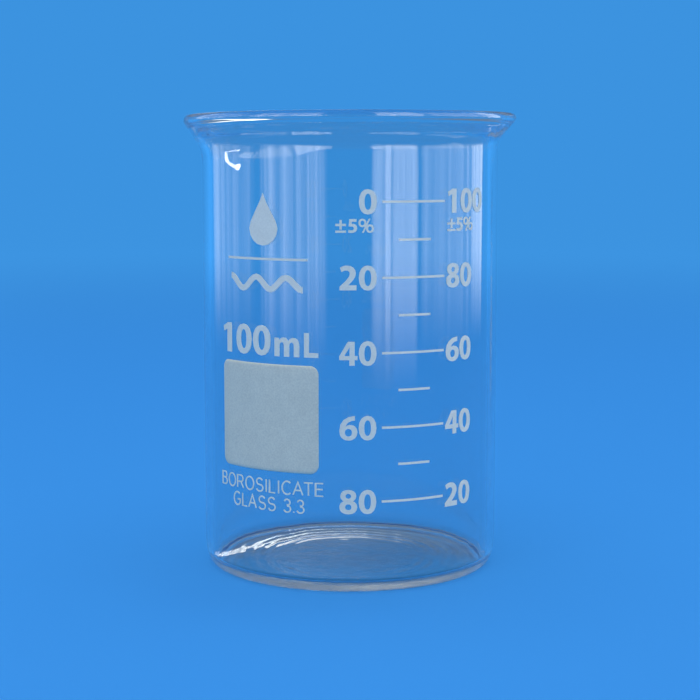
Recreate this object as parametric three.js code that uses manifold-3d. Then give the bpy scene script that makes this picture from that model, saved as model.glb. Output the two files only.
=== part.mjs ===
// A 100 mL glass laboratory beaker with a fired enamel scale, in millimetres.
// +Z is up, the foot stands on z = 0 and the axis of the vessel is the Z axis. The print faces -Y.
// The vessel is one blown piece. Every island of enamel is a mesh of its own on the outside of the wall.
import * as THREE from 'three';
import { mergeVertices } from 'three/addons/utils/BufferGeometryUtils.js';
import Module from 'manifold-3d';

// Vessel
const BODY_R = 25; // outside radius of the straight wall
const WALL = 1.6;
const HEIGHT = 76.4; // top of the bead
const FOOT = 0.65; // thickness of the floor at its middle
const HEEL_IN = 2; // the heel curves from the foot to the wall over this width
const HEEL_UP = 6; // and over this height
const HEEL_SQUARENESS = 2.5; // 2 would be an ellipse, more is squarer
const BOWL_UP = 2.2; // how far the floor of the cup rises to meet the wall
const BOWL_SQUARENESS = 4;
const BEAD_R = 0.85;
const RIM_R = 27.95; // outside radius over the bead
const FLARE = THREE.MathUtils.degToRad(43); // lean of the flared neck from the vertical
const NECK_WALL = 1.4;
const SIDES = 72; // facets around the wall, shared by the vessel and the enamel

// Pouring lip
const LIP_TURN = THREE.MathUtils.degToRad(-115); // from the middle of the print, negative to its left
const LIP_OUT = 1.5; // how far the lip reaches beyond the rim
const LIP_DROP = 0.6; // how far the lip sinks below the rim
const TROUGH_OUT = 2.2; // depth of the trough that leads up to it
const SAG = 0.3; // shallow sinking of the whole rim on that side
const NECK_H = 7.8; // the top part of the vessel that the lip reshapes

// Enamel print
const ENAMEL = 0.1; // thickness of the enamel
const ENAMEL_GAP = 0.02; // clearance to the glass, so that the solids do not share a face
const SCALE_X = 10.5; // middle of the scale, measured along the wall from the -Y line
const LABEL_X = -14.5; // middle of the label column
const FULL_LINE_Z = 62.28; // height of the 100 mL line
const STEP_Z = 5.91; // 10 mL of rise
const TOLERANCE_Z = 57.5; // baseline of the tolerance marks
const LINE_THICK = 0.36;
const LONG_LINE = 10.9;
const SHORT_LINE = 5.5;
const DIGIT_PITCH = 3.06;
const DIGIT_W = 2.86;
const DIGIT_H = 3.8;
const LEFT_COLUMN_X = 4.25; // where the left numbers end
const RIGHT_COLUMN_X = 16.4; // where the right numbers start
const CAPACITY_SIZE = 1.24; // size of the capacity mark relative to the scale's digits
const CAPACITY_Z = 37.9; // baseline of the capacity mark

const wasm = await Module();
wasm.setup();
const { Manifold, Mesh } = wasm;

const glass = new THREE.MeshStandardMaterial({
  color: 0xdfeef4, roughness: 0.04, metalness: 0, transparent: true, opacity: 0.35,
});
const enamel = new THREE.MeshStandardMaterial({ color: 0xb7bfc4, roughness: 0.62, metalness: 0 });

// Geometry to solid and back.
function toSolid(geometry) {
  const bare = geometry.clone();
  bare.deleteAttribute('normal');
  bare.deleteAttribute('uv');
  const merged = mergeVertices(bare, 1e-4);
  const index = merged.index.array;
  const kept = [];
  for (let i = 0; i < index.length; i += 3) {
    const [a, b, c] = [index[i], index[i + 1], index[i + 2]];
    if (a !== b && b !== c && c !== a) kept.push(a, b, c);
  }
  const vertProperties = new Float32Array(merged.attributes.position.array);
  return new Manifold(new Mesh({ numProp: 3, vertProperties, triVerts: new Uint32Array(kept) }));
}

function toGeometry(solid) {
  const mesh = solid.getMesh();
  const geometry = new THREE.BufferGeometry();
  geometry.setAttribute('position', new THREE.BufferAttribute(mesh.vertProperties, 3));
  geometry.setIndex(new THREE.BufferAttribute(mesh.triVerts, 1));
  geometry.computeVertexNormals();
  return geometry;
}

// A profile of radius and height, turned about the Z axis.
function turned(points) {
  return new THREE.LatheGeometry(points, SIDES).rotateX(Math.PI / 2);
}

// ---- The vessel ----

// A quarter of a squared ellipse, from [0, 0] outwards and up to [1, 1], without its first point.
function squaredCorner(squareness, steps) {
  const power = 2 / squareness;
  const points = [];
  for (let i = 1; i <= steps; i += 1) {
    const angle = (Math.PI / 2) * (i / steps);
    const up = i === steps ? 1 : 1 - Math.cos(angle) ** power;
    points.push([Math.sin(angle) ** power, up]);
  }
  return points;
}

function vesselProfile() {
  const along = new THREE.Vector2(Math.sin(FLARE), Math.cos(FLARE));
  const outward = new THREE.Vector2(Math.cos(FLARE), -Math.sin(FLARE));
  const bead = new THREE.Vector2(RIM_R - BEAD_R, HEIGHT - BEAD_R);
  const outerEnd = bead.clone().addScaledVector(outward, BEAD_R);
  const innerEnd = outerEnd.clone().addScaledVector(outward, -NECK_WALL);
  const innerR = BODY_R - WALL;

  // Where the flared lines would meet the straight wall, outside and inside.
  const outerReach = (outerEnd.x - BODY_R) / along.x;
  const innerReach = (innerEnd.x - innerR) / along.x;
  const outerBend = outerEnd.clone().addScaledVector(along, -outerReach);
  const innerBend = innerEnd.clone().addScaledVector(along, -innerReach);
  const outerStart = outerEnd.clone().addScaledVector(along, 1.45 - outerReach);
  const innerStart = innerEnd.clone().addScaledVector(along, 1.2 - innerReach);
  const underBead = innerEnd.clone().addScaledVector(along, -2.1);

  const path = new THREE.Path();
  path.moveTo(0, 0);
  path.lineTo(BODY_R - HEEL_IN, 0);
  for (const [across, up] of squaredCorner(HEEL_SQUARENESS, 7)) {
    path.lineTo(BODY_R - HEEL_IN + HEEL_IN * across, HEEL_UP * up);
  }
  path.lineTo(BODY_R, outerBend.y - 3.6);
  path.lineTo(BODY_R, outerBend.y - 1.75);
  path.quadraticCurveTo(outerBend.x, outerBend.y, outerStart.x, outerStart.y);
  path.lineTo(outerEnd.x, outerEnd.y);
  path.absarc(bead.x, bead.y, BEAD_R, -FLARE, Math.PI * 0.97, false);
  path.quadraticCurveTo(bead.x - BEAD_R, bead.y - 0.3, underBead.x, underBead.y);
  path.lineTo(innerStart.x, innerStart.y);
  path.quadraticCurveTo(innerBend.x, innerBend.y, innerR, innerBend.y - 1.75);
  path.lineTo(innerR, innerBend.y - 3.6);
  path.lineTo(innerR, FOOT + BOWL_UP);
  for (const [across, up] of squaredCorner(BOWL_SQUARENESS, 9).reverse()) {
    path.lineTo(innerR * across, FOOT + BOWL_UP * up);
  }
  path.lineTo(0, FOOT);
  return path.getPoints(4);
}

// Pulls the neck out and down on one side, which makes the pouring lip and its trough.
function pullLip(geometry) {
  const position = geometry.getAttribute('position');
  const middle = new THREE.Vector2(Math.sin(LIP_TURN), -Math.cos(LIP_TURN)).angle();
  const side = new THREE.Vector2(-1, 0).angle();
  const { degToRad, euclideanModulo, lerp, smoothstep } = THREE.MathUtils;
  const bump = (angle, centre, width) => {
    const away = euclideanModulo(angle - centre + Math.PI, 2 * Math.PI) - Math.PI;
    return Math.exp(-((away / width) ** 2));
  };
  for (let i = 0; i < position.count; i += 1) {
    const across = new THREE.Vector2(position.getX(i), position.getY(i));
    const z = position.getZ(i);
    const rise = smoothstep(z, HEIGHT - NECK_H, HEIGHT - 3.4);
    const mouth = smoothstep(z, HEIGHT - 4.5, HEIGHT);
    if (rise === 0) continue;
    const angle = across.angle();
    const width = lerp(degToRad(30), degToRad(15), mouth);
    const out = lerp(TROUGH_OUT, LIP_OUT, mouth) * rise * bump(angle, middle, width);
    const drop = LIP_DROP * bump(angle, middle, degToRad(17)) + SAG * bump(angle, side, degToRad(55));
    across.setLength(across.length() + out);
    position.setXYZ(i, across.x, across.y, z - drop * mouth);
  }
  return geometry;
}

// ---- Letter and figure shapes, drawn with the baseline at 0 and in millimetres ----

const polygon = (...corners) => new THREE.Shape(corners.map(([x, y]) => new THREE.Vector2(x, y)));

function rectangle(x, y, width, height) {
  return polygon([x, y], [x + width, y], [x + width, y + height], [x, y + height]);
}

// A closed round outline, a little squarer than an ellipse.
function oval(x, y, rx, ry, PathType = THREE.Shape) {
  const kx = rx * 0.62;
  const ky = ry * 0.62;
  const path = new PathType();
  path.moveTo(x + rx, y);
  path.bezierCurveTo(x + rx, y + ky, x + kx, y + ry, x, y + ry);
  path.bezierCurveTo(x - kx, y + ry, x - rx, y + ky, x - rx, y);
  path.bezierCurveTo(x - rx, y - ky, x - kx, y - ry, x, y - ry);
  path.bezierCurveTo(x + kx, y - ry, x + rx, y - ky, x + rx, y);
  return path;
}

function ring(x, y, rx, ry, innerX, innerY) {
  const shape = oval(x, y, rx, ry);
  shape.holes.push(oval(x, y, innerX, innerY, THREE.Path));
  return shape;
}

function roundedRectangle(width, height, radius) {
  const [w, h] = [width / 2, height / 2];
  const shape = new THREE.Shape();
  shape.absarc(w - radius, radius - h, radius, -Math.PI / 2, 0, false);
  shape.absarc(w - radius, h - radius, radius, 0, Math.PI / 2, false);
  shape.absarc(radius - w, h - radius, radius, Math.PI / 2, Math.PI, false);
  shape.absarc(radius - w, radius - h, radius, Math.PI, Math.PI * 1.5, false);
  return shape;
}

const figures = {
  0: () => ring(1.4, 1.9, 1.4, 1.96, 0.54, 1.26),
  1: () => polygon([1.1, 0], [2.05, 0], [2.05, 3.8], [1.25, 3.8], [0.24, 3.3], [0.38, 2.66], [1.1, 2.95]),
  2: () => {
    const shape = new THREE.Shape();
    shape.moveTo(0.05, 0);
    shape.lineTo(2.7, 0);
    shape.lineTo(2.7, 0.78);
    shape.lineTo(1.42, 0.78);
    shape.bezierCurveTo(1.95, 1.32, 2.6, 1.9, 2.6, 2.66);
    shape.bezierCurveTo(2.6, 3.4, 2.05, 3.86, 1.25, 3.86);
    shape.bezierCurveTo(0.8, 3.86, 0.45, 3.74, 0.12, 3.5);
    shape.lineTo(0.38, 2.84);
    shape.bezierCurveTo(0.6, 3, 0.82, 3.1, 1.08, 3.1);
    shape.bezierCurveTo(1.45, 3.1, 1.66, 2.9, 1.66, 2.56);
    shape.bezierCurveTo(1.66, 1.95, 0.8, 1.28, 0.05, 0.55);
    return shape;
  },
  4: () => {
    const shape = polygon(
      [1.6, 0], [2.42, 0], [2.42, 0.88], [2.86, 0.88], [2.86, 1.52], [2.42, 1.52],
      [2.42, 3.76], [1.34, 3.76], [0, 1.46], [0, 0.88], [1.6, 0.88],
    );
    shape.holes.push(new THREE.Path(polygon([0.8, 1.52], [1.62, 1.52], [1.62, 2.9]).getPoints()));
    return shape;
  },
  5: () => {
    const shape = new THREE.Shape();
    shape.moveTo(0.42, 3.8);
    shape.lineTo(2.42, 3.8);
    shape.lineTo(2.42, 3.04);
    shape.lineTo(1.12, 3.04);
    shape.lineTo(1.05, 2.46);
    shape.bezierCurveTo(1.95, 2.56, 2.62, 2.06, 2.62, 1.26);
    shape.bezierCurveTo(2.62, 0.45, 1.98, -0.06, 1.05, -0.06);
    shape.bezierCurveTo(0.65, -0.06, 0.32, 0.02, 0.08, 0.14);
    shape.lineTo(0.24, 0.84);
    shape.bezierCurveTo(0.5, 0.74, 0.75, 0.68, 1, 0.68);
    shape.bezierCurveTo(1.45, 0.68, 1.7, 0.88, 1.7, 1.24);
    shape.bezierCurveTo(1.7, 1.7, 1.2, 1.86, 0.28, 1.74);
    return shape;
  },
  6: () => {
    const shape = new THREE.Shape();
    shape.moveTo(2.46, 3.84);
    shape.bezierCurveTo(1, 3.84, 0, 2.96, 0, 1.52);
    shape.bezierCurveTo(0, 0.5, 0.56, -0.06, 1.45, -0.06);
    shape.bezierCurveTo(2.34, -0.06, 2.86, 0.5, 2.86, 1.26);
    shape.bezierCurveTo(2.86, 1.98, 2.4, 2.42, 1.76, 2.42);
    shape.bezierCurveTo(1.46, 2.42, 1.2, 2.34, 1, 2.14);
    shape.bezierCurveTo(1.12, 2.76, 1.66, 3.12, 2.46, 3.14);
    shape.holes.push(oval(1.44, 1.2, 0.56, 0.62, THREE.Path));
    return shape;
  },
  8: () => {
    const shape = new THREE.Shape();
    shape.moveTo(1.42, -0.06);
    shape.bezierCurveTo(2.32, -0.06, 2.84, 0.4, 2.84, 1.06);
    shape.bezierCurveTo(2.84, 1.52, 2.6, 1.84, 2.16, 2.04);
    shape.bezierCurveTo(2.5, 2.26, 2.68, 2.54, 2.68, 2.88);
    shape.bezierCurveTo(2.68, 3.48, 2.2, 3.86, 1.42, 3.86);
    shape.bezierCurveTo(0.64, 3.86, 0.16, 3.48, 0.16, 2.88);
    shape.bezierCurveTo(0.16, 2.54, 0.34, 2.26, 0.68, 2.04);
    shape.bezierCurveTo(0.24, 1.84, 0, 1.52, 0, 1.06);
    shape.bezierCurveTo(0, 0.4, 0.52, -0.06, 1.42, -0.06);
    shape.holes.push(oval(1.42, 1.08, 0.5, 0.48, THREE.Path));
    shape.holes.push(oval(1.42, 2.84, 0.44, 0.4, THREE.Path));
    return shape;
  },
  m: () => {
    const shape = new THREE.Shape();
    shape.moveTo(0, 0);
    shape.lineTo(0.72, 0);
    shape.lineTo(0.72, 1.3);
    shape.bezierCurveTo(0.72, 1.66, 0.86, 1.84, 1.08, 1.84);
    shape.bezierCurveTo(1.3, 1.84, 1.38, 1.66, 1.38, 1.3);
    shape.lineTo(1.38, 0);
    shape.lineTo(2.1, 0);
    shape.lineTo(2.1, 1.3);
    shape.bezierCurveTo(2.1, 1.66, 2.22, 1.84, 2.44, 1.84);
    shape.bezierCurveTo(2.68, 1.84, 2.76, 1.66, 2.76, 1.3);
    shape.lineTo(2.76, 0);
    shape.lineTo(3.48, 0);
    shape.lineTo(3.48, 1.45);
    shape.bezierCurveTo(3.48, 2.1, 3.18, 2.44, 2.7, 2.44);
    shape.bezierCurveTo(2.4, 2.44, 2.12, 2.28, 1.96, 2);
    shape.bezierCurveTo(1.84, 2.28, 1.6, 2.44, 1.3, 2.44);
    shape.bezierCurveTo(1.02, 2.44, 0.8, 2.3, 0.64, 2.06);
    shape.lineTo(0.62, 2.36);
    shape.lineTo(0, 2.36);
    return shape;
  },
  L: () => polygon([0, 0], [1.86, 0], [1.86, 0.6], [0.66, 0.6], [0.66, 3.12], [0, 3.12]),
};

// ---- The enamel ----

// A thin sleeve around the wall, a little longer than the print.
const sleeveIn = BODY_R + ENAMEL_GAP;
const sleeveOut = sleeveIn + ENAMEL;
const sleeveProfile = new THREE.Path();
sleeveProfile.moveTo(sleeveIn, -70);
sleeveProfile.lineTo(sleeveOut, -70);
sleeveProfile.lineTo(sleeveOut, 70);
sleeveProfile.lineTo(sleeveIn, 70);
sleeveProfile.lineTo(sleeveIn, -70);
const sleeve = toSolid(turned(sleeveProfile.getPoints()));

// A flat shape laid on the wall: it is pushed straight into the sleeve and what they share is kept.
function laidOnWall(shapes, turn, size) {
  const depth = 8;
  const options = { depth, bevelEnabled: false, curveSegments: 4 };
  const stamps = shapes.map((shape) => {
    const block = new THREE.ExtrudeGeometry(shape, options).scale(size, size, 1);
    return toSolid(block.rotateX(Math.PI / 2).translate(0, depth - BODY_R - 3, 0));
  });
  const stamp = stamps.length > 1 ? Manifold.union(stamps) : stamps[0];
  return stamp.intersect(sleeve.rotate([0, 0, -THREE.MathUtils.radToDeg(turn)]));
}

// x runs along the wall from the -Y line, z is the height of the mark's baseline.
function mark(name, shapes, x, z, size = 1) {
  const turn = x / BODY_R;
  const mesh = new THREE.Mesh(toGeometry(laidOnWall(shapes, turn, size)), enamel);
  mesh.name = name;
  mesh.rotation.z = turn;
  mesh.position.z = z;
  return mesh;
}

// How wide a flat shape must be to cover this much of the wall.
const flat = (width) => 2 * BODY_R * Math.sin(width / 2 / BODY_R);

function bar(name, x, z, width) {
  return mark(name, [rectangle(-flat(width) / 2, -LINE_THICK / 2, flat(width), LINE_THICK)], x, z);
}

// A number whose figures start at x. Each figure sits square on its own bit of wall.
function number(name, text, x, z, size = 1) {
  const group = new THREE.Group();
  [...text].forEach((figure, i) => {
    const centred = laidCentre(figures[figure](), DIGIT_W / 2);
    const middle = x + (i * DIGIT_PITCH + DIGIT_W / 2) * size;
    group.add(mark(name + '_' + i, [centred], middle, z, size));
  });
  return group;
}

// The same shape with its given middle moved to 0.
function laidCentre(shape, middle) {
  const shift = (point) => new THREE.Vector2(point.x - middle, point.y);
  const moved = new THREE.Shape(shape.getPoints(4).map(shift));
  moved.holes = shape.holes.map((hole) => new THREE.Path(hole.getPoints(4).map(shift)));
  return moved;
}

function tolerance(name, x, z) {
  const group = new THREE.Group();
  const cross = polygon(
    [-0.18, 0.5], [0.18, 0.5], [0.18, 1.03], [0.83, 1.03], [0.83, 1.39], [0.18, 1.39],
    [0.18, 1.98], [-0.18, 1.98], [-0.18, 1.39], [-0.83, 1.39], [-0.83, 1.03], [-0.18, 1.03],
  );
  const percent = [
    ring(-0.58, 1.52, 0.62, 0.66, 0.3, 0.36),
    polygon([-0.64, 0], [-0.38, 0], [0.66, 2.16], [0.4, 2.16]),
    ring(0.6, 0.64, 0.62, 0.66, 0.3, 0.36),
  ];
  group.add(mark(name + '_plus', [cross], x + 0.85, z));
  group.add(mark(name + '_minus', [rectangle(-0.83, 0, 1.66, 0.34)], x + 0.85, z));
  group.add(mark(name + '_five', [laidCentre(figures[5](), 1.35)], x + 2.7, z, 0.56));
  group.add(mark(name + '_percent', percent, x + 4.8, z));
  return group;
}

// A plain drop: round below, pointed above.
function drop(width, height) {
  const r = width / 2;
  const shape = new THREE.Shape();
  shape.moveTo(0, height);
  shape.bezierCurveTo(-0.18 * r, height * 0.78, -r, height * 0.5, -r, r);
  shape.absarc(0, r, r, Math.PI, 2 * Math.PI, false);
  shape.bezierCurveTo(r, height * 0.5, 0.18 * r, height * 0.78, 0, height);
  return shape;
}

// A band that rises and falls like water.
function wave(width, thick, swing, crests) {
  const steps = crests * 12;
  const edge = (i, side) => {
    const phase = (2 * Math.PI * crests * i) / steps;
    const slope = ((-2 * Math.PI * crests * swing) / width) * Math.sin(phase);
    const across = new THREE.Vector2(-slope, 1).setLength((side * thick) / 2);
    return new THREE.Vector2((i / steps - 0.5) * width, swing * Math.cos(phase)).add(across);
  };
  const points = [];
  for (let i = 0; i <= steps; i += 1) points.push(edge(i, -1));
  for (let i = steps; i >= 0; i -= 1) points.push(edge(i, 1));
  return new THREE.Shape(points);
}

// ---- The beaker ----

const beaker = new THREE.Group();
beaker.name = 'beaker';

const vessel = new THREE.Mesh(toGeometry(toSolid(pullLip(turned(vesselProfile())))), glass);
vessel.name = 'glass_vessel';
beaker.add(vessel);

const scale = new THREE.Group();
for (let i = 0; i < 9; i += 1) {
  const volume = 100 - 10 * i;
  const z = FULL_LINE_Z - STEP_Z * i;
  const long = i % 2 === 0;
  scale.add(bar('line_' + volume, SCALE_X, z, long ? LONG_LINE : SHORT_LINE));
  if (!long) continue;
  const left = String(100 - volume);
  const baseline = z - DIGIT_H / 2;
  const start = LEFT_COLUMN_X + 0.18 - DIGIT_PITCH * left.length;
  scale.add(number('left_' + left, left, start, baseline));
  scale.add(number('right_' + volume, String(volume), RIGHT_COLUMN_X, baseline));
}
scale.add(tolerance('left_tolerance', -2.3, TOLERANCE_Z));
scale.add(tolerance('right_tolerance', 16.55, TOLERANCE_Z));
beaker.add(scale);

const label = new THREE.Group();
const patchShape = roundedRectangle(flat(19.06), 17.25, 1.4);
label.add(mark('writing_patch', [patchShape], LABEL_X, 27.96));
label.add(number('capacity', '100', -24.2, CAPACITY_Z, CAPACITY_SIZE));
label.add(mark('capacity_m', [laidCentre(figures.m(), 1.74)], -10.25, CAPACITY_Z, CAPACITY_SIZE));
label.add(mark('capacity_L', [laidCentre(figures.L(), 0.93)], -6.15, CAPACITY_Z, CAPACITY_SIZE));
label.add(bar('label_rule', LABEL_X, 53.2, 15.6));
label.add(mark('emblem_drop', [drop(5.4, 8.2)], LABEL_X, 55.3));
label.add(mark('emblem_wave', [wave(flat(14), 0.95, 0.95, 2.5)], LABEL_X, 49.4));
beaker.add(label);

export default beaker;
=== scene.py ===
from math import atan2, cos, exp, hypot, pi, radians, sin, tan

import bpy
from mathutils import Matrix, Vector


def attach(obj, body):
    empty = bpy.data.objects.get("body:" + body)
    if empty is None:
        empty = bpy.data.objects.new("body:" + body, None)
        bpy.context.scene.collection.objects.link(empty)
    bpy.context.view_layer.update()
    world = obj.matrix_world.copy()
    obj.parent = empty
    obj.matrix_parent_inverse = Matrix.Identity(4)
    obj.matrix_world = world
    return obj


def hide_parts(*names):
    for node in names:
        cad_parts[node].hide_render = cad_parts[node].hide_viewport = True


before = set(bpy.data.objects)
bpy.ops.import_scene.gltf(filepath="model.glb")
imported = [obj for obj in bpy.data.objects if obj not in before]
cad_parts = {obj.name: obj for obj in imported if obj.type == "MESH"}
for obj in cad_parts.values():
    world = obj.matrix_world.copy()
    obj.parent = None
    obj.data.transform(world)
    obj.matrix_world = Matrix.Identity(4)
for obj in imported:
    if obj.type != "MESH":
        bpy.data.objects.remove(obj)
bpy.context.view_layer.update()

MM = 0.001

# ---------------------------------------------------------------- size of the beaker, in millimetres
BODY_R = 25.0
WALL = 1.6
HEIGHT = 76.4
FOOT = 0.65  # the thinnest part of the floor, in the middle
HEEL_IN = 2.0  # how far in and how far up the rounded heel reaches
HEEL_UP = 6.0
HEEL_SQUARENESS = 2.5  # 2 is an ellipse, and more is squarer
BOWL_UP = 2.2  # how far the floor of the cup rises to meet the wall
BOWL_SQUARENESS = 4.0
SATIN_R = 22.0  # the worn underside
BEAD_R = 0.85
RIM_R = 27.95
FLARE = radians(43)
NECK_WALL = 1.4
BEND_START = 1.75  # how far below its sharp corner the bend into the flare starts
BEND_END_OUT = 1.45  # how far along the flare it ends, outside and inside
BEND_END_IN = 1.2
CLOSE_RINGS = 3.6  # how far below that corner the wall's rings start to lie closer
BLEND_IN = 2.1  # how far down the inside of the flare the bead blends into it
BEAD_FALL = 0.3
PUNT = 0.25  # how far the middle of the foot is raised
PUNT_R = 14.0  # the foot starts to fall from here towards its standing ring
STANDING_RING = 0.8
RIPPLE = 0.014  # in the floor of the cup
RIPPLE_PITCH = 1.7

# The pouring lip. Depths are counted down from the rim.
LIP_TURN = radians(-115)
LIP_OUT = 1.5
LIP_DROP = 0.6
TROUGH_OUT = 2.2  # the neck under the lip
LIP_START = 7.8
LIP_FULL = 3.4
MOUTH_START = 4.5
MOUTH_WIDTH = radians(15)
TROUGH_WIDTH = radians(30)
DROP_WIDTH = radians(17)
SAG = 0.3
SAG_WIDTH = radians(55)

# Blown glass is never quite round. The foot and the bead are true, and the wall between wanders a little.
WANDER_START, WANDER_FULL = 4, 12  # above the foot
WANDER_LESS, WANDER_END = 10, 5  # below the rim

# ---------------------------------------------------------------- colours and surfaces
BLUE = (0.045, 0.29, 0.74)  # the paper as it is seen
FLOOR_BLUE = (0.046, 0.30, 0.77)
STUDIO = (0.15, 0.21, 0.28)  # the room above the paper
WARM = (1.0, 0.97, 0.86)
BOROSILICATE_IOR = 1.473
SATIN = 0.16
WEAR = 0.06  # how much the roughness of the satin wanders
# The satin underside's colours are painted shade, darkest in a ring near its edge; only the specks are
# dust.
PAINTED_SHADE_MIDDLE = (0.50, 0.55, 0.58)
PAINTED_SHADE_OUTER = (0.26, 0.24, 0.22)
PAINTED_SHADE_RING = (0.07, 0.065, 0.06)
SATIN_EDGE = (0.20, 0.19, 0.18)
SPECK = (0.03, 0.03, 0.03)

# ---------------------------------------------------------------- the stage and the camera, in metres
FLOOR_R = 0.9
CURVE_R = 0.3
WALL_TOP = 0.6
CAMERA_PLACE = Vector((0, -0.2776, 0.06965))
CAMERA_TILT = 6.87  # degrees down
FIELD_OF_VIEW = 24.26
SENSOR = 36


# ---------------------------------------------------------------- materials
def material(name):
    mat = bpy.data.materials.new(name)
    mat.use_nodes = True
    nt = mat.node_tree
    shader = nt.nodes["Principled BSDF"]
    return mat, nt, shader


def node(nt, kind, **settings):
    made = nt.nodes.new(kind)
    for key, value in settings.items():
        if isinstance(value, (int, float, tuple)) and key in made.inputs:
            made.inputs[key].default_value = value
        else:
            setattr(made, key, value)
    return made


def let_lamps_through(nt, shader):
    """For shadows the glass is nearly transparent, so that the lamps light what is behind it."""
    path = node(nt, "ShaderNodeLightPath")
    through = node(nt, "ShaderNodeBsdfTransparent")
    through.inputs["Color"].default_value = (0.95, 0.97, 0.98, 1)
    mix = node(nt, "ShaderNodeMixShader")
    out = nt.nodes["Material Output"]
    nt.links.new(path.outputs["Is Shadow Ray"], mix.inputs[0])
    nt.links.new(shader.outputs[0], mix.inputs[1])
    nt.links.new(through.outputs[0], mix.inputs[2])
    nt.links.new(mix.outputs[0], out.inputs["Surface"])


def clear_glass():
    """Borosilicate glass, almost without colour."""
    mat, nt, shader = material("clear_glass")
    shader.inputs["Base Color"].default_value = (0.90, 0.915, 0.92, 1)
    shader.inputs["Transmission Weight"].default_value = 1.0
    shader.inputs["IOR"].default_value = BOROSILICATE_IOR
    shader.inputs["Roughness"].default_value = 0.0

    # Drawn streaks that run up the wall, and a little orange peel.
    place = node(nt, "ShaderNodeTexCoord")
    stretch = node(nt, "ShaderNodeMapping")
    stretch.inputs["Scale"].default_value = (330, 330, 3)
    nt.links.new(place.outputs["Object"], stretch.inputs["Vector"])
    streaks = node(nt, "ShaderNodeTexNoise", Scale=1.0, Detail=1.0, Roughness=0.4)
    nt.links.new(stretch.outputs["Vector"], streaks.inputs["Vector"])
    bump = node(nt, "ShaderNodeBump", Strength=0.10, Distance=0.0004)
    nt.links.new(streaks.outputs["Fac"], bump.inputs["Height"])
    nt.links.new(bump.outputs["Normal"], shader.inputs["Normal"])

    let_lamps_through(nt, shader)
    return mat


def satin_glass():
    """The underside of the foot: worn satin with dirt specks, its colour darkened as painted shade, darkest
    in a ring near its edge.
    """
    mat, nt, shader = material("satin_glass")
    shader.inputs["Transmission Weight"].default_value = 1.0
    shader.inputs["IOR"].default_value = BOROSILICATE_IOR
    place = node(nt, "ShaderNodeTexCoord")
    flat = node(nt, "ShaderNodeVectorMath", operation="MULTIPLY")
    flat.inputs[1].default_value = (1000, 1000, 0)
    nt.links.new(place.outputs["Object"], flat.inputs[0])
    radius = node(nt, "ShaderNodeVectorMath", operation="LENGTH")
    nt.links.new(flat.outputs[0], radius.inputs[0])
    edge = node(nt, "ShaderNodeMapRange")
    edge.inputs["From Min"].default_value = SATIN_R - 3.2
    edge.inputs["From Max"].default_value = SATIN_R
    nt.links.new(radius.outputs["Value"], edge.inputs["Value"])
    specks = node(nt, "ShaderNodeTexNoise", Scale=1500.0, Detail=3.0, Roughness=0.65)
    nt.links.new(place.outputs["Object"], specks.inputs["Vector"])
    # Specks thicken towards the edge, as the limit falls.
    limit = node(nt, "ShaderNodeMapRange")
    limit.inputs["To Min"].default_value = 0.72
    limit.inputs["To Max"].default_value = 0.50
    nt.links.new(edge.outputs["Result"], limit.inputs["Value"])
    dirty = node(nt, "ShaderNodeMath", operation="GREATER_THAN")
    nt.links.new(specks.outputs["Fac"], dirty.inputs[0])
    nt.links.new(limit.outputs["Result"], dirty.inputs[1])
    # The disc's colour is painted shade: darkened all over, and darkest in a ring just inside the edge,
    # where the foot stands on the floor.
    spread = node(nt, "ShaderNodeMapRange")
    spread.inputs["From Max"].default_value = SATIN_R
    nt.links.new(radius.outputs["Value"], spread.inputs["Value"])
    painted_shade = node(nt, "ShaderNodeValToRGB")
    stops = ((0.0, PAINTED_SHADE_MIDDLE), (0.72, PAINTED_SHADE_MIDDLE), (0.90, PAINTED_SHADE_OUTER), (0.965, PAINTED_SHADE_RING),
             (1.0, SATIN_EDGE))
    for place_on_ramp, _ in stops[1:-1]:
        painted_shade.color_ramp.elements.new(place_on_ramp)
    for element, (place_on_ramp, colour) in zip(painted_shade.color_ramp.elements, stops):
        element.position = place_on_ramp
        element.color = (*colour, 1)
    nt.links.new(spread.outputs["Result"], painted_shade.inputs["Fac"])
    tint = node(nt, "ShaderNodeMix", data_type="RGBA")
    tint.inputs[7].default_value = (*SPECK, 1)
    nt.links.new(painted_shade.outputs["Color"], tint.inputs[6])
    nt.links.new(dirty.outputs[0], tint.inputs[0])
    nt.links.new(tint.outputs[2], shader.inputs["Base Color"])
    worn = node(nt, "ShaderNodeMapRange")
    worn.inputs["From Min"].default_value = 0.3
    worn.inputs["From Max"].default_value = 0.7
    worn.inputs["To Min"].default_value = SATIN - WEAR
    worn.inputs["To Max"].default_value = SATIN + WEAR
    wear = node(nt, "ShaderNodeTexNoise", Scale=420.0, Detail=4.0, Roughness=0.6)
    nt.links.new(place.outputs["Object"], wear.inputs["Vector"])
    nt.links.new(wear.outputs["Fac"], worn.inputs["Value"])
    nt.links.new(worn.outputs["Result"], shader.inputs["Roughness"])
    let_lamps_through(nt, shader)
    return mat


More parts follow.
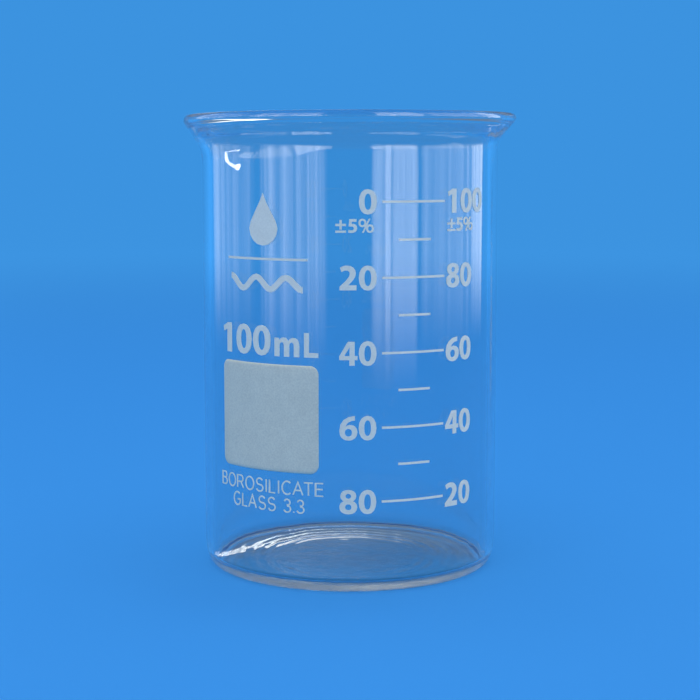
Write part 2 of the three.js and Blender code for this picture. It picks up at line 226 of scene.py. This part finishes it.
def fired_enamel(name, dark, light, grain_bump):
    """Matt pale enamel with a fine, even speckle and a faint unevenness."""
    mat, nt, shader = material(name)
    place = node(nt, "ShaderNodeTexCoord")
    grain = node(nt, "ShaderNodeTexNoise", Scale=3600.0, Detail=2.0, Roughness=0.6)
    cloud = node(nt, "ShaderNodeTexNoise", Scale=520.0, Detail=4.0, Roughness=0.6)
    for tex in (grain, cloud):
        nt.links.new(place.outputs["Object"], tex.inputs["Vector"])
    both = node(nt, "ShaderNodeMix", data_type="FLOAT")
    both.inputs[0].default_value = 0.3
    nt.links.new(grain.outputs["Fac"], both.inputs[2])
    nt.links.new(cloud.outputs["Fac"], both.inputs[3])
    ramp = node(nt, "ShaderNodeValToRGB")
    ramp.color_ramp.elements[0].position = 0.36
    ramp.color_ramp.elements[0].color = (*dark, 1)
    ramp.color_ramp.elements[1].position = 0.64
    ramp.color_ramp.elements[1].color = (*light, 1)
    nt.links.new(both.outputs[0], ramp.inputs["Fac"])
    nt.links.new(ramp.outputs["Color"], shader.inputs["Base Color"])
    bump = node(nt, "ShaderNodeBump", Strength=grain_bump, Distance=0.00004)
    nt.links.new(grain.outputs["Fac"], bump.inputs["Height"])
    nt.links.new(bump.outputs["Normal"], shader.inputs["Normal"])
    shader.inputs["Roughness"].default_value = 0.62
    shader.inputs["Specular IOR Level"].default_value = 0.3
    return mat


def blue_paper():
    """Sky blue paper that turns to the studio's grey up the wall. Far out it gives its own light."""
    mat, nt, shader = material("blue_paper")
    shader.inputs["Roughness"].default_value = 0.95
    shader.inputs["Specular IOR Level"].default_value = 0.05
    place = node(nt, "ShaderNodeTexCoord")
    split = node(nt, "ShaderNodeSeparateXYZ")
    nt.links.new(place.outputs["Object"], split.inputs[0])
    hue = node(nt, "ShaderNodeValToRGB")
    hue.color_ramp.elements[0].position = 0.42
    hue.color_ramp.elements[0].color = (*BLUE, 1)
    hue.color_ramp.elements[1].position = 0.60
    hue.color_ramp.elements[1].color = (*STUDIO, 1)
    up = node(nt, "ShaderNodeMapRange")
    up.inputs["From Min"].default_value = 0.0
    up.inputs["From Max"].default_value = WALL_TOP
    nt.links.new(split.outputs["Z"], up.inputs["Value"])
    nt.links.new(up.outputs["Result"], hue.inputs["Fac"])
    # Near the beaker the lamps light the paper. Further out it gives its own light, more and more.
    level = node(nt, "ShaderNodeVectorMath", operation="MULTIPLY")
    level.inputs[1].default_value = (1, 1, 0)
    nt.links.new(place.outputs["Object"], level.inputs[0])
    radius = node(nt, "ShaderNodeVectorMath", operation="LENGTH")
    nt.links.new(level.outputs[0], radius.inputs[0])
    own_light = node(nt, "ShaderNodeMapRange", interpolation_type="SMOOTHSTEP")
    own_light.inputs["From Min"].default_value = 0.15
    own_light.inputs["From Max"].default_value = FLOOR_R
    nt.links.new(radius.outputs["Value"], own_light.inputs["Value"])
    lit = node(nt, "ShaderNodeMix", data_type="RGBA")
    lit.inputs[6].default_value = (*FLOOR_BLUE, 1)
    lit.inputs[7].default_value = (0, 0, 0, 1)
    nt.links.new(own_light.outputs["Result"], lit.inputs[0])
    nt.links.new(lit.outputs[2], shader.inputs["Base Color"])
    nt.links.new(hue.outputs["Color"], shader.inputs["Emission Color"])
    # The paper's own light is painted light, stronger at the sides than straight behind the beaker.
    outward = node(nt, "ShaderNodeVectorMath", operation="NORMALIZE")
    nt.links.new(level.outputs[0], outward.inputs[0])
    back = node(nt, "ShaderNodeSeparateXYZ")
    nt.links.new(outward.outputs[0], back.inputs[0])
    sides = node(nt, "ShaderNodeMapRange", interpolation_type="SMOOTHSTEP")
    sides.inputs["From Min"].default_value = cos(radians(14))
    sides.inputs["From Max"].default_value = cos(radians(36))
    sides.inputs["To Min"].default_value = 1.0
    sides.inputs["To Max"].default_value = 1.4
    nt.links.new(back.outputs["Y"], sides.inputs["Value"])
    strength = node(nt, "ShaderNodeMath", operation="MULTIPLY")
    nt.links.new(own_light.outputs["Result"], strength.inputs[0])
    nt.links.new(sides.outputs["Result"], strength.inputs[1])
    nt.links.new(strength.outputs[0], shader.inputs["Emission Strength"])
    return mat


GLASS = clear_glass()
SATIN_GLASS = satin_glass()
PATCH_ENAMEL = fired_enamel("patch_enamel", (0.68, 0.63, 0.48), (0.81, 0.75, 0.57), 0.2)
PRINT_ENAMEL = fired_enamel("print_enamel", (0.87, 0.79, 0.63), (0.95, 0.87, 0.70), 0.1)
PAPER = blue_paper()


# ---------------------------------------------------------------- mesh helpers
def mesh_object(name, vertices, faces, mat, smooth=True):
    mesh = bpy.data.meshes.new(name)
    mesh.from_pydata(vertices, [], faces)
    mesh.update()
    made = bpy.data.objects.new(name, mesh)
    bpy.context.scene.collection.objects.link(made)
    mesh.materials.append(mat)
    if smooth:
        mesh.polygons.foreach_set("use_smooth", [True] * len(mesh.polygons))
    return made


def line(a, b, n):
    return [(a[0] + (b[0] - a[0]) * i / n, a[1] + (b[1] - a[1]) * i / n) for i in range(1, n + 1)]


def arc(centre, r, a0, a1, n):
    steps = [a0 + (a1 - a0) * i / n for i in range(1, n + 1)]
    return [(centre[0] + r * cos(a), centre[1] + r * sin(a)) for a in steps]


def quadratic(a, b, c, n):
    """A smooth bend from a to c that is drawn towards b."""
    points = []
    for i in range(1, n + 1):
        t = i / n
        u = 1 - t
        points.append(tuple(u * u * p + 2 * u * t * q + t * t * s for p, q, s in zip(a, b, c)))
    return points


def smoothstep(x, lo, hi):
    """0 up to lo, 1 from hi on, and smooth between."""
    t = min(1.0, max(0.0, (x - lo) / (hi - lo)))
    return t * t * (3 - 2 * t)


# ---------------------------------------------------------------- the glass vessel
def vessel_profile():
    """Radius and height around the glass: the foot, up the outside, over the bead, and down the inside."""
    along = (sin(FLARE), cos(FLARE))
    outward = (cos(FLARE), -sin(FLARE))

    def move(point, direction, distance):
        return (point[0] + direction[0] * distance, point[1] + direction[1] * distance)

    bead = (RIM_R - BEAD_R, HEIGHT - BEAD_R)
    outer_end = move(bead, outward, BEAD_R)
    inner_end = move(outer_end, outward, -NECK_WALL)
    inner_r = BODY_R - WALL
    outer_reach = (outer_end[0] - BODY_R) / along[0]
    inner_reach = (inner_end[0] - inner_r) / along[0]
    outer_bend = move(outer_end, along, -outer_reach)
    inner_bend = move(inner_end, along, -inner_reach)
    outer_start = move(outer_end, along, BEND_END_OUT - outer_reach)
    inner_start = move(inner_end, along, BEND_END_IN - inner_reach)
    under_bead = move(inner_end, along, -BLEND_IN)

    p = [(0.0, PUNT)]
    # The foot: a raised middle, a ring that the beaker stands on, and the heel.
    flat_r = BODY_R - HEEL_IN
    for i in range(1, 41):
        r = flat_r * i / 40
        p.append((r, PUNT * (1 - smoothstep(r, PUNT_R, flat_r - STANDING_RING))))
    for i in range(1, 19):
        a = pi / 2 * i / 18
        power = 2 / HEEL_SQUARENESS
        p.append((flat_r + HEEL_IN * sin(a) ** power, HEEL_UP * (1 - cos(a) ** power)))
    p += line(p[-1], (BODY_R, outer_bend[1] - CLOSE_RINGS), 46)
    p += line(p[-1], (BODY_R, outer_bend[1] - BEND_START), 4)
    p += quadratic(p[-1], outer_bend, outer_start, 10)
    p += line(p[-1], outer_end, 5)
    p += arc(bead, BEAD_R, -FLARE, pi * 0.97, 20)
    p += quadratic(p[-1], (bead[0] - BEAD_R, bead[1] - BEAD_FALL), under_bead, 6)
    p += line(p[-1], inner_start, 3)
    p += quadratic(p[-1], inner_bend, (inner_r, inner_bend[1] - BEND_START), 10)
    p += line(p[-1], (inner_r, inner_bend[1] - CLOSE_RINGS), 4)
    p += line(p[-1], (inner_r, FOOT + BOWL_UP), 44)
    # The floor of the cup is a shallow bowl that turns up into the wall.
    steps = 130
    for i in range(1, steps + 1):
        a = pi / 2 * i / steps
        power = 2 / BOWL_SQUARENESS
        r = inner_r * cos(a) ** power
        z = FOOT + BOWL_UP * (1 - sin(a) ** power)
        if i == steps:
            r = 0.0
        p.append((r, z + floor_ripple(r)))
    return p


def floor_ripple(r):
    """Concentric ripples that the mould and the burner leave in the floor of the cup."""
    fade = smoothstep(r, 9.0, 15.0) * (1 - smoothstep(r, 19.5, 21.5))
    return RIPPLE * sin(2 * pi * r / RIPPLE_PITCH) * fade


def bump(angle, centre, width):
    """1 at the centre, falling smoothly to 0 on both sides."""
    away = (angle - centre + pi) % (2 * pi) - pi
    return exp(-((away / width) ** 2))


def glass_point(r, z, turn):
    """A point of the wall. turn is counted from -Y towards +X."""
    rise = smoothstep(z, HEIGHT - LIP_START, HEIGHT - LIP_FULL)
    mouth = smoothstep(z, HEIGHT - MOUTH_START, HEIGHT)
    width = TROUGH_WIDTH + (MOUTH_WIDTH - TROUGH_WIDTH) * mouth
    out = (TROUGH_OUT + (LIP_OUT - TROUGH_OUT) * mouth) * rise * bump(turn, LIP_TURN, width)
    drop = LIP_DROP * bump(turn, LIP_TURN, DROP_WIDTH) + SAG * bump(turn, radians(-90), SAG_WIDTH)
    calm = smoothstep(z, HEIGHT - WANDER_LESS, HEIGHT - WANDER_END)
    wander = smoothstep(z, WANDER_START, WANDER_FULL) * (1 - calm)
    uneven = 0.010 * sin(7 * turn + 0.6 + z * 0.03) + 0.006 * sin(13 * turn + 2.1 - z * 0.02)
    if r < BODY_R - 0.1:
        uneven = 0.012 * sin(9 * turn + 1.9 + z * 0.04) + 0.008 * sin(17 * turn + 0.4)
    r = r + out + uneven * wander * smoothstep(r, 15, 20) - 0.012 * wander
    return (r * sin(turn) * MM, -r * cos(turn) * MM, (z - drop * mouth) * MM)


def glass_vessel():
    sides = 240
    profile = vessel_profile()
    first, last = profile[0], profile[-1]
    rings = profile[1:-1]
    vertices = [(0, 0, first[1] * MM)]
    for r, z in rings:
        vertices += [glass_point(r, z, 2 * pi * i / sides) for i in range(sides)]
    vertices.append((0, 0, last[1] * MM))
    faces = []
    for i in range(sides):
        j = (i + 1) % sides
        faces.append((0, 1 + j, 1 + i))
        for k in range(len(rings) - 1):
            a = 1 + k * sides
            b = a + sides
            faces.append((a + i, a + j, b + j, b + i))
        end = 1 + (len(rings) - 1) * sides
        faces.append((end + i, end + j, len(vertices) - 1))
    made = mesh_object("blown_glass", vertices, faces, GLASS)
    # The underside is worn satin by the benches it has stood on, and its colour holds painted shade.
    made.data.materials.append(SATIN_GLASS)
    for face in made.data.polygons:
        x, y, z = face.center
        underside = z < FOOT / 2 * MM
        face.material_index = int(underside and hypot(x, y) < SATIN_R * MM)
    return made


vessel = glass_vessel()
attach(vessel, "root")
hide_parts("glass_vessel")


# ---------------------------------------------------------------- the enamel
def on_wall(x, z, lift):
    """x along the wall from the -Y line and z up, in millimetres, at lift off the glass."""
    turn = x / BODY_R
    r = BODY_R + lift
    return (r * sin(turn) * MM, -r * cos(turn) * MM, z * MM)


def writing_patch():
    """The matt patch to write on: a thin curved pad with round corners and a soft edge."""
    half_w, half_h, corner = 9.53, 8.62, 1.4
    cx, cz = -14.5, 27.96
    top, shoulder, rim, back = 0.11, 0.09, 0.03, 0.004  # lifts off the glass
    outline = []
    for qx, qz, start in ((1, -1, -pi / 2), (1, 1, 0), (-1, 1, pi / 2), (-1, -1, pi)):
        for i in range(9):
            a = start + i / 8 * pi / 2
            x = qx * (half_w - corner) + corner * cos(a)
            z = qz * (half_h - corner) + corner * sin(a)
            outline.append((x, z))
    # Straight runs are cut finely along the wall so that the pad follows its curve.
    fine = []
    for (ax, az), (bx, bz) in zip(outline, outline[1:] + outline[:1]):
        n = max(1, round(hypot(bx - ax, bz - az) / 0.45))
        fine += [(ax + (bx - ax) * i / n, az + (bz - az) * i / n) for i in range(n)]
    scales = (0.0, 0.2, 0.4, 0.6, 0.8, 0.94, 0.985, 1.0)
    lifts = (top, top, top, top, top, top, shoulder, rim)
    vertices = [on_wall(cx, cz, top)]
    for s, lift in zip(scales[1:], lifts[1:]):
        vertices += [on_wall(cx + x * s, cz + z * s, lift) for x, z in fine]
    vertices += [on_wall(cx + x, cz + z, back) for x, z in fine]
    vertices.append(on_wall(cx, cz, back))
    n = len(fine)
    faces = []
    for i in range(n):
        j = (i + 1) % n
        faces.append((0, 1 + i, 1 + j))
        for k in range(len(scales) - 1):
            a = 1 + k * n
            faces.append((a + i, a + n + i, a + n + j, a + j))
    # The back of the pad lies on the glass in concentric rings too.
    base = 1 + (len(scales) - 1) * n
    rings_back = [base]
    for s in scales[-2:0:-1]:
        rings_back.append(len(vertices))
        vertices += [on_wall(cx + x * s, cz + z * s, back) for x, z in fine]
    centre = base + n
    for a, b in zip(rings_back, rings_back[1:]):
        for i in range(n):
            j = (i + 1) % n
            faces.append((a + i, b + i, b + j, a + j))
    last = rings_back[-1]
    for i in range(n):
        faces.append((last + i, centre, last + (i + 1) % n))
    return mesh_object("matt_patch", vertices, faces, PATCH_ENAMEL)


patch = writing_patch()
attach(patch, "root")
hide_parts("writing_patch")


def round_stroke(cx, cy, rx, ry, a0, a1, n=10):
    steps = [radians(a0 + (a1 - a0) * i / n) for i in range(n + 1)]
    return [(cx + rx * cos(a), cy + ry * sin(a)) for a in steps]


def capitals():
    """Plain upright capitals as pen strokes, one unit high. Each has its width and its strokes."""
    return {
        "B": (0.62, [
            [(0.28, 0.53)] + round_stroke(0.36, 0.765, 0.19, 0.235, -90, 90, 6) + [(0, 1), (0, 0)]
            + round_stroke(0.38, 0.265, 0.22, 0.265, -90, 90, 6) + [(0, 0.53)],
        ]),
        "O": (0.76, [round_stroke(0.38, 0.5, 0.38, 0.52, 90, 450, 24)]),
        "R": (0.64, [
            [(0, 0), (0, 1)] + round_stroke(0.38, 0.74, 0.2, 0.26, 90, -90, 6) + [(0, 0.48)],
            [(0.36, 0.48), (0.64, 0)],
        ]),
        "S": (0.6, [
            round_stroke(0.3, 0.755, 0.26, 0.265, 25, 240, 10) + [(0.42, 0.49)]
            + round_stroke(0.3, 0.255, 0.29, 0.275, 55, -160, 10),
        ]),
        "I": (0.0, [[(0, 0), (0, 1)]]),
        "L": (0.46, [[(0, 1), (0, 0), (0.46, 0)]]),
        "C": (0.68, [round_stroke(0.38, 0.5, 0.38, 0.52, 48, 312, 16)]),
        "A": (0.72, [[(0, 0), (0.36, 1), (0.72, 0)], [(0.13, 0.36), (0.59, 0.36)]]),
        "T": (0.66, [[(0, 1), (0.66, 1)], [(0.33, 1), (0.33, 0)]]),
        "E": (0.54, [[(0.54, 1), (0, 1), (0, 0), (0.54, 0)], [(0, 0.53), (0.5, 0.53)]]),
        "G": (0.72, [round_stroke(0.38, 0.5, 0.38, 0.52, 48, 325, 16) + [(0.7, 0.46), (0.42, 0.46)]]),
        "3": (0.54, [
            round_stroke(0.26, 0.765, 0.23, 0.245, 160, -90, 9)
            + round_stroke(0.26, 0.255, 0.27, 0.265, 90, -160, 10),
        ]),
        ".": (0.0, [[(0, 0), (0, 0.07)]]),
        " ": (0.22, []),
    }


def fine_print(name, rows):
    """Thin lettering as flat ribbons on the wall. Each row: text, left end, baseline, height, width."""
    pen = 0.24
    gap_after = 0.24  # between letters, in letter heights
    top, underside = 0.05, 0.006  # lifts off the glass
    letters = capitals()
    vertices, faces = [], []

    def ribbon(points):
        left, right = [], []
        for i, (x, z) in enumerate(points):
            px, pz = points[max(0, i - 1)]
            nx, nz = points[min(len(points) - 1, i + 1)]
            length = hypot(nx - px, nz - pz) or 1.0
            ox, oz = -(nz - pz) / length * pen / 2, (nx - px) / length * pen / 2
            # A sharp corner is widened to keep the pen's width.
            if 0 < i < len(points) - 1:
                ax, az = x - px, z - pz
                bx, bz = nx - x, nz - z
                turn = abs(atan2(ax * bz - az * bx, ax * bx + az * bz)) / 2
                ox, oz = ox / max(0.45, cos(turn)), oz / max(0.45, cos(turn))
            left.append((x + ox, z + oz))
            right.append((x - ox, z - oz))
        start = len(vertices)
        for lift in (top, underside):
            for side in (left, right):
                vertices.extend(on_wall(x, z, lift) for x, z in side)
        n = len(points)
        tl, tr, bl, br = (start + k * n for k in range(4))
        for i in range(n - 1):
            faces.append((tl + i, tr + i, tr + i + 1, tl + i + 1))
            faces.append((bl + i, bl + i + 1, br + i + 1, br + i))
            faces.append((tl + i, tl + i + 1, bl + i + 1, bl + i))
            faces.append((tr + i, br + i, br + i + 1, tr + i + 1))
        faces.append((tl, bl, br, tr))
        faces.append((tl + n - 1, tr + n - 1, br + n - 1, bl + n - 1))

    # Pairs that would look too far apart, or too close, at the common gap.
    closer = {"CA": 0.08, "AT": 0.16, "TE": 0.06, "LA": 0.06}
    closer.update({pair: -0.04 for pair in ("LI", "SI", "IL", "IC")})

    for text, left_x, baseline, height, width in rows:
        gaps = [gap_after - closer.get(pair, 0) for pair in map("".join, zip(text, text[1:]))] + [0]
        natural = sum(letters[c][0] for c in text) + sum(gaps)
        stretch = width / (natural * height)
        x = left_x
        for c, gap in zip(text, gaps):
            wide, strokes = letters[c]
            for stroke in strokes:
                ribbon([(x + px * height * stretch, baseline + pz * height) for px, pz in stroke])
            x += (wide + gap) * height * stretch
    return mesh_object(name, vertices, faces, PRINT_ENAMEL, smooth=False)


lettering = fine_print("fine_print", [
    ("BOROSILICATE", -24.75, 15.85, 2.05, 20.5),
    ("GLASS 3.3", -21.4, 12.95, 2.05, 14.0),
])
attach(lettering, "root")

for name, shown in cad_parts.items():
    if name in ("glass_vessel", "writing_patch"):
        continue
    shown.data.materials.clear()
    shown.data.materials.append(PRINT_ENAMEL)


# ---------------------------------------------------------------- floor and backdrop
def backdrop():
    """A round floor that curves up into a low wall, the same on every side."""
    profile = [(0.0, 0.0), (0.1, 0.0), (0.3, 0.0), (0.6, 0.0), (FLOOR_R, 0.0)]
    profile += arc((FLOOR_R, CURVE_R), CURVE_R, -pi / 2, 0, 16)
    profile += line(profile[-1], (FLOOR_R + CURVE_R, WALL_TOP), 3)
    sides = 96
    vertices = [(0, 0, 0)]
    for r, z in profile[1:]:
        vertices += [(r * cos(2 * pi * i / sides), r * sin(2 * pi * i / sides), z) for i in range(sides)]
    faces = []
    for i in range(sides):
        j = (i + 1) % sides
        faces.append((0, 1 + i, 1 + j))
        for k in range(len(profile) - 2):
            a = 1 + k * sides
            faces.append((a + i, a + sides + i, a + sides + j, a + j))
    return mesh_object("backdrop", vertices, faces, PAPER)


stage = backdrop()


# ---------------------------------------------------------------- light
def softbox(name, place, target, width, height, radiance, colour=(1, 1, 1)):
    data = bpy.data.lights.new(name, "AREA")
    data.shape = "RECTANGLE"
    data.size, data.size_y = width, height
    data.energy = radiance * pi * width * height
    data.color = colour
    lamp = bpy.data.objects.new(name, data)
    bpy.context.scene.collection.objects.link(lamp)
    lamp.location = place
    aim = Vector(target) - Vector(place)
    lamp.rotation_euler = aim.to_track_quat("-Z", "Y").to_euler()
    lamp.visible_camera = False
    return lamp


def hang_cloth(panel, soft, streaks, seed):
    """Cloth over a softbox: it hangs in folds, and the light fades towards its edges.
    soft is the share of its width over which it fades, and streaks says how strong the folds are."""
    panel.data.use_nodes = True
    nt = panel.data.node_tree
    glow = nt.nodes["Emission"]
    geometry = node(nt, "ShaderNodeNewGeometry")
    split = node(nt, "ShaderNodeSeparateXYZ")
    nt.links.new(geometry.outputs["Parametric"], split.inputs[0])

    def fade(output, lo, hi):
        ramp = node(nt, "ShaderNodeMapRange", interpolation_type="SMOOTHSTEP")
        ramp.inputs["From Min"].default_value = lo
        ramp.inputs["From Max"].default_value = hi
        nt.links.new(output, ramp.inputs["Value"])
        return ramp.outputs["Result"]

    def times(a, b):
        product = node(nt, "ShaderNodeMath", operation="MULTIPLY")
        nt.links.new(a, product.inputs[0])
        nt.links.new(b, product.inputs[1])
        return product.outputs[0]

    x, y = split.outputs["X"], split.outputs["Y"]
    sides = times(fade(x, 0.0, soft), fade(x, 1.0, 1.0 - soft))
    ends = times(fade(y, 0.0, 0.12), fade(y, 1.0, 0.75))
    folds = node(nt, "ShaderNodeTexNoise", noise_dimensions="1D", Scale=9.0, Detail=3.0, Roughness=0.65)
    along = node(nt, "ShaderNodeMath", operation="ADD")
    along.inputs[1].default_value = seed
    nt.links.new(x, along.inputs[0])
    nt.links.new(along.outputs[0], folds.inputs["W"])
    fold = node(nt, "ShaderNodeMapRange")
    fold.inputs["From Min"].default_value = 0.3
    fold.inputs["From Max"].default_value = 0.7
    fold.inputs["To Min"].default_value = 1 - streaks
    fold.inputs["To Max"].default_value = 1 + streaks
    nt.links.new(folds.outputs["Fac"], fold.inputs["Value"])
    nt.links.new(times(times(sides, ends), fold.outputs["Result"]), glow.inputs["Strength"])


def side_panel(name, from_deg, to_deg, distance, radiance, streaks, seed):
    """An upright softbox that spans these directions, counted from the front towards the right."""
    middle, half = radians((from_deg + to_deg) / 2), radians(abs(to_deg - from_deg) / 2)
    place = (distance * sin(middle), -distance * cos(middle), PANEL_TOP / 2)
    panel = softbox(name, place, (0, 0, PANEL_TOP / 2), 2 * distance * tan(half), PANEL_TOP, radiance, WARM)
    panel.visible_diffuse = False
    panel.visible_transmission = False
    hang_cloth(panel, 0.12, streaks, seed)


PANEL_TOP = 0.36
MIRRORED = 0.3  # how far from the wall the lamps stand that it mirrors as a small bright hook
HOOK_TOP, HOOK_BEND, HOOK_END = radians(-58), radians(-46.5), radians(-44.2)
HOOK_LOW = 67.15

side_panel("panel_left", -70, -16, 0.24, 2.9, 0.6, 1.3)
side_panel("panel_far_left", -128, -74, 0.30, 1.4, 0.5, 4.1)
side_panel("panel_right", 15, 50, 0.22, 5.2, 0.5, 7.7)
side_panel("panel_far_right", 50, 104, 0.28, 2.2, 0.5, 2.9)
side_panel("panel_edge_right", 102, 120, 0.34, 3.6, 0.3, 5.5)
key = softbox("key", (-0.5, -1.1, 0.9), (0, 0, 0.04), 0.9, 0.9, 2.4)
key.visible_glossy = False
key.visible_transmission = False
overhead = softbox("overhead", (0, 0.0, 1.3), (0, 0, 0), 1.4, 1.4, 2.0)
overhead.visible_glossy = False
overhead.visible_transmission = False
fill = softbox("fill_right", (1.0, -0.1, 0.14), (0, 0, 0.04), 0.4, 0.2, 7.5)
fill.visible_glossy = False
fill.visible_transmission = False
window = softbox("back_window", (-0.10, 1.05, 0.337), (0, 0, 0.03), 0.34, 0.056, 3.6, WARM)
window.visible_diffuse = False
hang_cloth(window, 0.4, 0.5, 0.0)


def mirrored_at(turn, z):
    """Where a lamp stands that the wall mirrors to the camera at this turn and height."""
    normal = Vector((sin(turn), -cos(turn), 0))
    point = normal * BODY_R * MM + Vector((0, 0, z * MM))
    return point + (point - CAMERA_PLACE).normalized().reflect(normal) * MIRRORED


def lamp_bar(name, start, end, thick, radiance):
    """A long thin lamp between two points, facing the beaker."""
    middle = (start + end) / 2
    lamp = softbox(name, middle, (0, 0, middle.z), (end - start).length, thick, radiance)
    across = (end - start).normalized()
    back = (middle - Vector((0, 0, middle.z))).normalized()
    up = back.cross(across).normalized()
    lamp.rotation_euler = Matrix((across, up, across.cross(up))).transposed().to_euler()
    lamp.visible_diffuse = False
    lamp.visible_transmission = False
    return lamp


lamp_bar("glint", mirrored_at(HOOK_TOP, 69.9), mirrored_at(HOOK_BEND, 67.2), 0.0011, 13.0)
bulb_start, bulb_end = mirrored_at(HOOK_BEND, HOOK_LOW), mirrored_at(HOOK_END, HOOK_LOW)
bulb = lamp_bar("glint_end", bulb_start, bulb_end, 0.0014, 20.0)
bulb.data.shape = "ELLIPSE"

world = bpy.data.worlds.new("studio")
world.use_nodes = True
background = world.node_tree.nodes["Background"]
background.inputs["Color"].default_value = (*STUDIO, 1)
background.inputs["Strength"].default_value = 1.0
scene = bpy.context.scene
scene.world = world
scene.view_settings.view_transform = "Standard"

# Light runs a long way inside thick glass edges, which turn black when it is cut short.
BOUNCES = 256
scene.cycles.max_bounces = BOUNCES
scene.cycles.transmission_bounces = BOUNCES
scene.cycles.glossy_bounces = BOUNCES

# ---------------------------------------------------------------- camera
camera_data = bpy.data.cameras.new("camera")
camera_data.sensor_width = SENSOR
camera_data.lens = SENSOR / 2 / tan(radians(FIELD_OF_VIEW / 2))
camera = bpy.data.objects.new("camera", camera_data)
scene.collection.objects.link(camera)
camera.location = CAMERA_PLACE
camera.rotation_euler = (radians(90 - CAMERA_TILT), 0, 0)
scene.camera = camera
